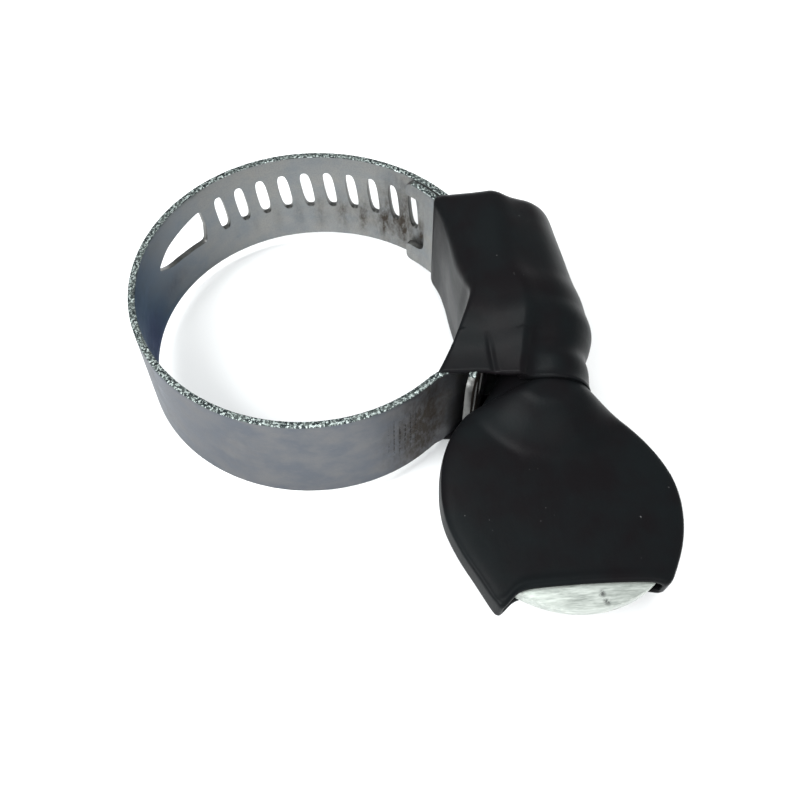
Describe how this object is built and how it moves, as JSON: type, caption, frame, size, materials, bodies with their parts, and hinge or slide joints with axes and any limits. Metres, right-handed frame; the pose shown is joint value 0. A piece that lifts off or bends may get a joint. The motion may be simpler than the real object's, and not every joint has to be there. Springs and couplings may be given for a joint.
{
  "type": "hose clamp",
  "caption": "Worm-drive hose clamp: a slotted zinc-plated steel band closes through a sleeved screw housing, turned by a round thumb key in a black shrink sleeve.",
  "frame": {"origin": "on the hose axis, half way up the band's width", "axes": "+Z along the hose axis; the screw is parallel to Y on the +X side, with the thumb key towards -Y"},
  "size_m": [0.0543, 0.0585, 0.0164],
  "materials": {
    "band_zinc": "zinc-plated strip, bluish, dull, with sheared edges, dirt and a few rust stains",
    "housing_zinc": "zinc-plated pressed steel",
    "screw_zinc": "zinc-plated turned steel",
    "key_zinc": "pale zinc plate with brushed lines and nicks",
    "shrink_sleeve": "black heat-shrink tube, satin"
  },
  "bodies": {
    "clamp_body": {"band_fixed_end": "band_zinc", "housing": "housing_zinc", "housing_sleeve": "shrink_sleeve"},
    "near_band": {"band_near_length": "band_zinc"},
    "far_band": {"band_far_length": "band_zinc"},
    "free_band": {"band_free_end": "band_zinc"},
    "screw": {"worm_screw": "screw_zinc", "thumb_key": "key_zinc", "key_sleeve": "shrink_sleeve"}
  },
  "joints": [
    {"name": "screw_turn", "type": "hinge", "parent": "clamp_body", "child": "screw", "pos_m": [0.02342, -0.02665, 0.00105], "axis": [0, 1, 0], "range_deg": [0, 1080]},
    {"name": "near_bend", "type": "hinge", "parent": "clamp_body", "child": "near_band", "pos_m": [0.01091, -0.01396, 0], "axis": [0, 0, 1], "range_deg": [-10.5, 0]},
    {"name": "left_bend", "type": "hinge", "parent": "near_band", "child": "far_band", "pos_m": [-0.01844, 0.00308, 0], "axis": [0, 0, 1], "range_deg": [-9.2, 0]},
    {"name": "far_bend", "type": "hinge", "parent": "far_band", "child": "free_band", "pos_m": [0.00488, 0.0188, 0], "axis": [0, 0, 1], "range_deg": [-5.8, 0]}
  ],
  "couplings": [
    {"joint": "near_bend", "follows": "screw_turn", "ratio": -0.0093016},
    {"joint": "left_bend", "follows": "screw_turn", "ratio": -0.0081398},
    {"joint": "far_bend", "follows": "screw_turn", "ratio": -0.0049906}
  ]
}
